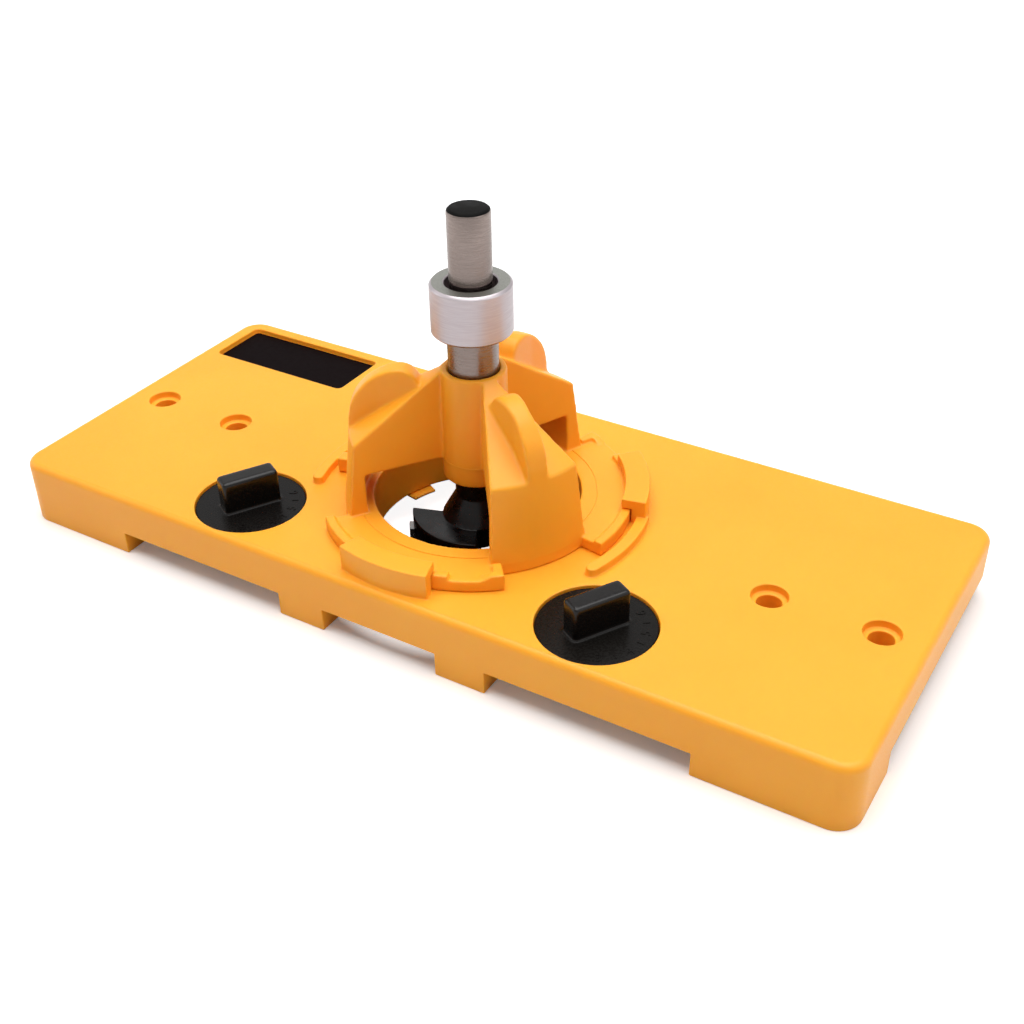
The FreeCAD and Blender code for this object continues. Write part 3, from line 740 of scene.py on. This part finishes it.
@dataclass
class DrillGuide:
    """The locking tripod: ring with tabs, three arms with fins and the sleeve."""

    centre: Pair = (0.0, -2.95)
    flange_top: float = 20.15
    roof_top: float = 53.7
    roof_slope: float = 0.677
    roof_start_r: float = 8.4
    window_height: float = 30.5
    sleeve_r: float = 8.21
    inner_ring_r: float = 29.35
    ring_root: float = 0.2
    ring_edge: float = 0.02
    voxel_mm: float = 0.3
    even_passes: int = 4
    arm_passes: int = 16
    fin_passes: int = 15
    faces_kept: float = 0.28
    arm_axes: Tuple[float, ...] = (-30.0, 90.0, 210.0)
    arm_apex_r: float = 1.6
    arm_spread: float = 0.445
    roof_half_limit: float = 6.0
    roof_margin: float = 0.3
    fin_inner_r: float = 13.0
    fin_outer_r: float = 30.0
    arm_round_above: Pair = (1.0, 3.0)
    arm_round_r: Pair = (6.6, 7.2)
    fin_round_above: Pair = (0.3, 1.3)
    fin_round_r: Pair = (10.5, 12.0)
    fin_form_above: Pair = (-1.0, -0.2)
    fin_form_r: Pair = (10.0, 12.6)
    crest_above: Pair = (0.5, 6.0)
    crest_fall_r: Pair = (13.5, 27.0)
    fin_half: float = 2.2
    fin_outer_half: float = 1.7
    fin_inner_half: float = 2.9
    fin_inner_rise: float = 1.0
    fin_outer_rise: float = -2.4

    def build(self) -> None:
        """Round the guide's edges, the fins' more than the rest, and add its two fine rings."""
        rubs = [Rub(self.even_passes, lambda place: 1.0), Rub(self.arm_passes, self.on_arms),
                Rub(self.fin_passes, self.on_fins)]
        guide = melt(merged_copy("drill_guide", "guide_moulding"), self.voxel_mm, rubs,
                     self.faces_kept, self.taper_fins)
        Piece("guide", "orange_plastic", ORANGE_ABS, "drill_guide").install(guide)
        self.ring("sleeve_seam", self.sleeve_r, self.window_height, width=0.12, rise=0.3)
        self.ring("flange_circle", self.inner_ring_r, self.flange_top, width=0.24, rise=0.2)

    def reach(self, place: Vector) -> float:
        """Distance of a place from the boring axis, in millimetres."""
        return math.hypot(place.x - self.centre[0], place.y - self.centre[1])

    def on_arms(self, place: Vector) -> float:
        """Share of the arms' rounding: none in the bore and on the flange's small steps."""
        low, high = self.arm_round_above
        above_flange = ramp(place.z, self.flange_top + low, self.flange_top + high)
        return above_flange * ramp(self.reach(place), *self.arm_round_r)

    def above_roof(self, place: Vector) -> float:
        """How far a place lies above the sloping roofs of the arms, in millimetres."""
        drop = self.roof_slope * (self.reach(place) - self.roof_start_r)
        return place.z - self.roof_top + drop

    def on_fins(self, place: Vector) -> float:
        """Share of the fins' rounding at a place: only above the arms' roofs."""
        above = ramp(self.above_roof(place), *self.fin_round_above)
        return above * ramp(self.reach(place), *self.fin_round_r)

    def nearest_arm(self, x: float, y: float) -> float:
        """Direction of the arm nearest to a place beside the axis, in radians."""
        bearing = math.atan2(y, x)
        return min((math.radians(axis) for axis in self.arm_axes),
                   key=lambda turn: abs(math.remainder(bearing - turn, math.tau)))

    def widen(self, along: float, across: float) -> float:
        """How far a fin's side moves out from its middle, fading to nothing at the roof's edge.

        Args:
            along: Distance from the boring axis along the arm, in millimetres.
            across: Distance from the arm's middle, in millimetres.

        Returns:
            The move, in millimetres.
        """
        inwards = ramp(-along, -self.fin_outer_r, -self.fin_inner_r)
        half = self.fin_outer_half + (self.fin_inner_half - self.fin_outer_half) * inwards
        limit = min(self.roof_half_limit,
                    self.arm_spread * (along - self.arm_apex_r) - self.roof_margin)
        size = abs(across)
        fade = max(0.0, (limit - size) / (limit - self.fin_half))
        return (half - self.fin_half) * min(size / self.fin_half, fade)

    def taper_fins(self, place: Vector) -> Vector:
        """Thicken the fins near the sleeve, thin them outside and let their crests fall outwards.

        The solid's fins have one thickness and a higher outer end.

        Args:
            place: A place on the guide, in millimetres.

        Returns:
            Where it goes.
        """
        above = ramp(self.above_roof(place), *self.fin_form_above)
        share = above * ramp(self.reach(place), *self.fin_form_r)
        if share == 0.0:
            return place
        x, y = place.x - self.centre[0], place.y - self.centre[1]
        turn = self.nearest_arm(x, y)
        cosine, sine = math.cos(turn), math.sin(turn)
        along, across = x * cosine + y * sine, y * cosine - x * sine
        across += math.copysign(self.widen(along, across) * share, across)
        fall = self.fin_outer_rise - self.fin_inner_rise
        rise = self.fin_inner_rise + fall * ramp(along, *self.crest_fall_r)
        rise *= ramp(self.above_roof(place), *self.crest_above)
        return Vector((self.centre[0] + along * cosine - across * sine,
                       self.centre[1] + along * sine + across * cosine, place.z + rise))

    def ring(self, name: str, radius: float, height: float, width: float, rise: float) -> None:
        """Lay one fine raised line round the boring axis.

        Args:
            name: Name of the line.
            radius: Radius of its middle, in millimetres.
            height: Height that it lies at.
            width: Its width.
            rise: How far it stands up.
        """
        inner, outer = radius - width / 2, radius + width / 2
        low, high = height - self.ring_root, height + rise
        edge = self.ring_edge
        outline = [(inner, low), (outer, low), (outer, high - edge), (outer - edge, high),
                   (inner + edge, high), (inner, high - edge)]
        line = TURNED.make(name, outline, self.centre, ORANGE_ABS, steps=144)
        Piece("guide", "orange_plastic", ORANGE_ABS).install(line)


@dataclass
class BoringBit:
    """Ground shaft and shank with the blackened cutter head and its tips."""

    centre: Pair = (0.0, -2.95)
    plate_top: float = 17.2
    scale_from: float = 75.2
    head_edge_mm: float = 0.25
    outline: Tuple[Pair, ...] = (
        (0.0, -1.0), (3.5, -1.0), (3.5, 8.0), (5.85, 8.0), (6.0, 8.15), (6.0, 54.8), (5.8, 55.0),
        (4.8, 55.0), (4.8, 58.7), (4.9, 58.8), (5.0, 58.9), (5.0, 74.9), (4.85, 75.3), (4.5, 75.65),
        (4.1, 75.8), (0.0, 75.8))

    def build(self) -> None:
        """Turn the shaft and soften the cutter head."""
        heights = [(r, self.plate_top + z) for r, z in self.outline]
        shaft = TURNED.make("ground_shaft", heights, self.centre, GROUND_STEEL)
        Piece("bit", "ground_steel", GROUND_STEEL, "bit_shaft").install(shaft)
        paint_tops(shaft, SCALED_STEEL, self.plate_top + self.scale_from, steepness=0.3)
        head = soften(merged_copy("bit_head", "cutter_head"), self.head_edge_mm)
        Piece("bit", "black_steel", BLACK_STEEL, "bit_head").install(head)
        for node in ("cutter_tip_1", "cutter_tip_2", "spur_tip_1", "spur_tip_2"):
            PAINTS.dress(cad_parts[node], CARBIDE)
            log.info("%s: carbide", node)


@dataclass
class DepthStop:
    """The clamped stop collar and its grub screw."""

    edge_mm: float = 0.1
    top: float = 75.6

    def build(self) -> None:
        """Soften the collar's turned edges, paint a darker reflection on its upward end faces and
        blacken its screw.
        """
        collar = soften(merged_copy("stop_collar", "collar_ring"), self.edge_mm)
        Piece("depth_stop", "satin_steel", TURNED_STEEL, "stop_collar").install(collar)
        # The collar's upward end faces take the darker steel: a painted reflection of a dim sky.
        paint_tops(collar, FACED_STEEL_PAINTED_REFLECTION, self.top, steepness=0.95)
        PAINTS.dress(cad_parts["collar_set_screw"], BLACK_SCREW)


@dataclass
class EdgeDial:
    """One dial with its scale, cam, washers and screw."""

    side: Side
    from_middle: float = 48.65
    y: float = -31.9
    disc_top: float = 16.6
    voxel_mm: float = 0.22
    even_passes: int = 3
    knob_passes: int = 24
    faces_kept: float = 0.35
    knob_foot_mm: float = 0.3
    knob_from_mm: float = 0.25
    knob_reach_r: Pair = (9.0, 10.5)
    numerals: Tuple[str, ...] = ("3", "4", "5", "6")
    numeral_height_mm: float = 2.3
    numeral_rise_mm: float = 0.12
    type_size_per_height: float = 1.4
    bar_mm: Triple = (1.6, 0.3, 0.24)
    numeral_radius_mm: float = 11.0
    first_angle: float = -60.0
    numeral_step: float = 38.0

    def build(self) -> None:
        """Soften the dial, add its scale and dress the small parts under it."""
        body = self.name + "_setting"
        node = self.name + "_dial"
        rubs = [Rub(self.even_passes, lambda place: 1.0), Rub(self.knob_passes, self.on_knob)]
        dial = melt(merged_copy(node, node + "_moulding"), self.voxel_mm, rubs, self.faces_kept)
        Piece(body, "black_plastic", BLACK_ABS, node).install(dial)
        paint_tops(dial, BLACK_KNOB, self.disc_top + self.knob_from_mm, steepness=-1.0)
        scale = self.scale()
        Piece(body, "black_plastic", BLACK_ABS).install(scale)
        for part, finish in (("cam", BLACK_ABS), ("spring_washer", ZINC_STEEL),
                             ("washer", ZINC_STEEL), ("screw", ZINC_STEEL)):
            PAINTS.dress(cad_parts[self.name + "_" + part], finish)

    @property
    def name(self) -> str:
        """The side as it stands in the names of nodes and bodies."""
        return self.side.name.lower()

    @property
    def x(self) -> float:
        """Place of the dial's axis along the plate, in millimetres."""
        return self.side.value * self.from_middle

    def on_knob(self, place: Vector) -> float:
        """Share of the knob's rounding at a place: the bar and its foot on the disc."""
        reach = math.hypot(place.x - self.x, place.y - self.y)
        near = 1.0 - ramp(reach, *self.knob_reach_r)
        return ramp(place.z, self.disc_top - self.knob_foot_mm, self.disc_top) * near

    def scale(self) -> Object:
        """The raised numbers round the disc, with short bars between them.

        Returns:
            One object with all of them.
        """
        work = bmesh.new()
        for number, text in enumerate(self.numerals):
            angle = math.radians(self.first_angle + number * self.numeral_step)
            glyph = self.numeral(text)
            place = Matrix.Translation(((self.x + self.numeral_radius_mm * math.cos(angle)) * MM,
                                        (self.y + self.numeral_radius_mm * math.sin(angle)) * MM,
                                        self.disc_top * MM))
            glyph.transform(place @ Matrix.Rotation(angle + math.pi / 2, 4, "Z"))
            work.from_mesh(glyph)
        start = math.radians(self.first_angle + self.numeral_step / 2)
        length, width, height = (size * MM for size in self.bar_mm)
        sizes = {"Count": len(self.numerals) - 1, "Radius": self.numeral_radius_mm * MM,
                 "Length": length, "Width": width, "Height": height, "Start": start,
                 "Sweep": math.radians(self.numeral_step * (len(self.numerals) - 2))}
        bars = MARKS.make(self.name + "_bars", sizes, (self.x, self.y, self.disc_top))
        work.from_mesh(bars.data)
        bpy.data.objects.remove(bars)
        mesh = bpy.data.meshes.new(self.name + "_dial_scale")
        work.to_mesh(mesh)
        work.free()
        return new_object(mesh.name, mesh)

    def numeral(self, text: str) -> Mesh:
        """One raised number as a mesh about the origin."""
        curve = bpy.data.curves.new("numeral", "FONT")
        curve.body = text
        curve.size = self.numeral_height_mm * self.type_size_per_height * MM
        curve.extrude = self.numeral_rise_mm * MM
        curve.align_x = "CENTER"
        curve.align_y = "CENTER"
        curve.resolution_u = 3
        thing = bpy.data.objects.new("numeral", curve)
        bpy.context.scene.collection.objects.link(thing)
        mesh = plain_mesh(thing)
        bpy.data.objects.remove(thing)
        return mesh


@dataclass(frozen=True)
class SoftBox:
    """One soft lamp: where it hangs and points in metres, its face and its power in watts."""

    name: str
    place: Triple
    aim: Triple
    width: float
    height: float
    power: float

    def hang(self) -> None:
        """Put the lamp in the scene and point it at its aim."""
        data = bpy.data.lights.new(self.name, "AREA")
        data.shape = "RECTANGLE"
        data.size = self.width
        data.size_y = self.height
        data.energy = self.power
        lamp = bpy.data.objects.new(self.name, data)
        lamp.location = self.place
        lamp.rotation_mode = "QUATERNION"
        forward = Vector(self.aim) - Vector(self.place)
        lamp.rotation_quaternion = forward.to_track_quat("-Z", "Y")
        bpy.context.scene.collection.objects.link(lamp)


@dataclass
class Studio:
    """Pale floor, soft lamps and the camera at the photograph's viewing angle."""

    azimuth: float = 31.683
    elevation: float = 34.182
    roll: float = 1.093
    distance: float = 332.8
    target: Triple = (10.41, -4.09, 17.2)
    lens: float = 47.94
    world_level: float = 0.18
    soft_boxes: Tuple[SoftBox, ...] = (
        SoftBox("key", (0.0, 0.05, 0.95), (0.0, 0.0, 0.0), 1.0, 1.0, 13.0),
        SoftBox("left", (-0.9, -0.3, 0.5), (0.0, 0.0, 0.03), 0.5, 0.6, 1.4),
        SoftBox("right", (0.8, 0.1, 0.6), (0.0, 0.0, 0.03), 0.7, 0.8, 1.5))
    floor_colour: str = "#ffffff"
    floor_size: float = 6.0
    # Under the plate the floor is a nearly black sheet to bounced light: painted shade.
    under_half: Pair = (0.112, 0.045)
    under_fade: float = 0.005
    under_shade: float = 0.03
    open_shade: float = 0.85
    whitening: Pair = (0.2, 0.5)
    near_white: float = 0.1
    # A spot of painted light under the bore, seen by the camera alone, which hides the shadow
    # there.
    bore_spot: Pair = (0.04, 0.046)
    bore_painted_light: float = 0.9

    def build(self) -> None:
        """Make the view settings, the camera, the floor, the world and the lamps."""
        bpy.context.scene.view_settings.view_transform = "Standard"
        self.camera()
        self.floor()
        self.world()
        for box in self.soft_boxes:
            box.hang()

    def camera(self) -> None:
        """Set the camera at the photograph's place, with its roll."""
        a, e = math.radians(self.azimuth), math.radians(self.elevation)
        back = Vector((math.sin(a) * math.cos(e), -math.cos(a) * math.cos(e), math.sin(e)))
        right = (-back).cross(Vector((0, 0, 1))).normalized()
        down = (-back).cross(right)
        turn = math.radians(self.roll)
        local_x = math.cos(turn) * right + math.sin(turn) * down
        local_y = math.sin(turn) * right - math.cos(turn) * down
        place = Matrix((local_x, local_y, back)).transposed().to_4x4()
        place.translation = (Vector(self.target) + back * self.distance) * MM
        data = bpy.data.cameras.new("camera")
        data.lens = self.lens
        data.sensor_width = 36.0
        data.clip_start = 0.01
        camera = bpy.data.objects.new("camera", data)
        camera.matrix_world = place
        bpy.context.scene.collection.objects.link(camera)
        bpy.context.scene.camera = camera

    def shown(self, tree: Tree, path: Node) -> Socket:
        """One for rays from the camera, off gloss or through glass, else zero."""
        rays = path.outputs
        seen = maths(tree, "MAXIMUM", rays["Is Camera Ray"], rays["Is Glossy Ray"])
        return maths(tree, "MAXIMUM", seen, rays["Is Transmission Ray"])

    def beside_plate(self, tree: Tree, places: Node) -> Socket:
        """One on the open floor, falling to zero under the plate."""
        parts = add_node(tree, "ShaderNodeSeparateXYZ", {0: places.outputs["Object"]})
        gaps = []
        for axis, half in (("X", self.under_half[0]), ("Y", self.under_half[1])):
            size = maths(tree, "ABSOLUTE", parts.outputs[axis])
            gap = add_node(tree, "ShaderNodeMapRange",
                           {"Value": size, 1: half - self.under_fade, 2: half})
            gaps.append(gap.outputs[0])
        return maths(tree, "MAXIMUM", *gaps)

    def floor(self) -> None:
        """A wide white floor at the height of the feet."""
        mesh = bpy.data.meshes.new("floor")
        size = self.floor_size
        corners = [(-size, -size, 0), (size, -size, 0), (size, size, 0), (-size, size, 0)]
        mesh.from_pydata(corners, [], [(0, 1, 2, 3)])
        floor = new_object("floor", mesh)
        mesh.materials.append(self.floor_material())

    def whiteness(self, tree: Tree, places: Node, path: Node) -> Socket:
        """How much white the floor adds: all of it far out, and nearly all under the bore.

        The part under the bore is painted light for the camera alone, and hides the object's shadow
        there.

        Args:
            tree: The floor's tree.
            places: The coordinates.
            path: The kinds of rays.

        Returns:
            The level, from 0 to 1.
        """
        away = add_node(tree, "ShaderNodeVectorMath", {0: places.outputs["Object"]},
                        operation="LENGTH").outputs["Value"]
        far = add_node(tree, "ShaderNodeMapRange",
                       {"Value": away, 1: self.whitening[0], 2: self.whitening[1],
                        3: self.near_white, 4: 1.0})
        # Painted light on the floor under the bore wipes out the object's shadow there.
        spot = add_node(tree, "ShaderNodeMapRange",
                        {"Value": away, 1: self.bore_spot[0], 2: self.bore_spot[1],
                         3: self.bore_painted_light, 4: 0.0})
        bore = maths(tree, "MULTIPLY", spot.outputs[0], path.outputs["Is Camera Ray"])
        return maths(tree, "MAXIMUM", far.outputs[0], bore)

    def floor_material(self) -> Material:
        """White paper that keeps the shadow beside the object and shows plain white far out.

        Light that it throws back on the object comes from a sheet that is nearly black under
        the plate: painted shade on the object's underside and bore. Gloss and glass see that dark
        part too.

        Returns:
            The finished material.
        """
        material = bpy.data.materials.new("studio_floor")
        material.use_nodes = True
        tree = material.node_tree
        tree.nodes.clear()
        places = add_node(tree, "ShaderNodeTexCoord")
        path = add_node(tree, "ShaderNodeLightPath")
        white = add_node(tree, "ShaderNodeEmission",
                         {"Strength": self.whiteness(tree, places, path)})
        sheet = add_node(tree, "ShaderNodeBsdfDiffuse", {"Color": srgb(self.floor_colour)})
        both = add_node(tree, "ShaderNodeAddShader",
                        {0: sheet.outputs[0], 1: white.outputs[0]})
        beside = self.beside_plate(tree, places)
        under = add_node(tree, "ShaderNodeMapRange",
                         {"Value": beside, 3: self.under_shade, 4: self.open_shade})
        # A nearly black sheet under the plate for bounced light: painted shade on the object's
        # underside and bore.
        painted_shade_sheet = add_node(tree, "ShaderNodeBsdfDiffuse", {"Color": under.outputs[0]})
        open_floor = maths(tree, "MULTIPLY", self.shown(tree, path), beside)
        seen = maths(tree, "MAXIMUM", open_floor, path.outputs["Is Camera Ray"])
        mix = add_node(tree, "ShaderNodeMixShader",
                       {0: seen, 1: painted_shade_sheet.outputs[0], 2: both.outputs[0]})
        add_node(tree, "ShaderNodeOutputMaterial", {"Surface": mix.outputs[0]})
        return material

    def world(self) -> None:
        """White to the camera and in reflections, and a plain level of light on the object."""
        world = bpy.data.worlds.new("studio")
        world.use_nodes = True
        tree = world.node_tree
        tree.nodes.clear()
        path = add_node(tree, "ShaderNodeLightPath")
        level = add_node(tree, "ShaderNodeMapRange",
                         {"Value": self.shown(tree, path), 3: self.world_level, 4: 1.0})
        light = add_node(tree, "ShaderNodeBackground",
                         {"Color": (1, 1, 1, 1), "Strength": level.outputs[0]})
        add_node(tree, "ShaderNodeOutputWorld", {"Surface": light.outputs[0]})
        bpy.context.scene.world = world


def main() -> None:
    """Build the jig piece by piece, then the studio."""
    logging.basicConfig(level=logging.INFO, format="%(message)s")
    BasePlate().build()
    DrillGuide().build()
    BoringBit().build()
    DepthStop().build()
    for side in Side:
        EdgeDial(side).build()
    Studio().build()


if __name__ == "__main__":
    main()
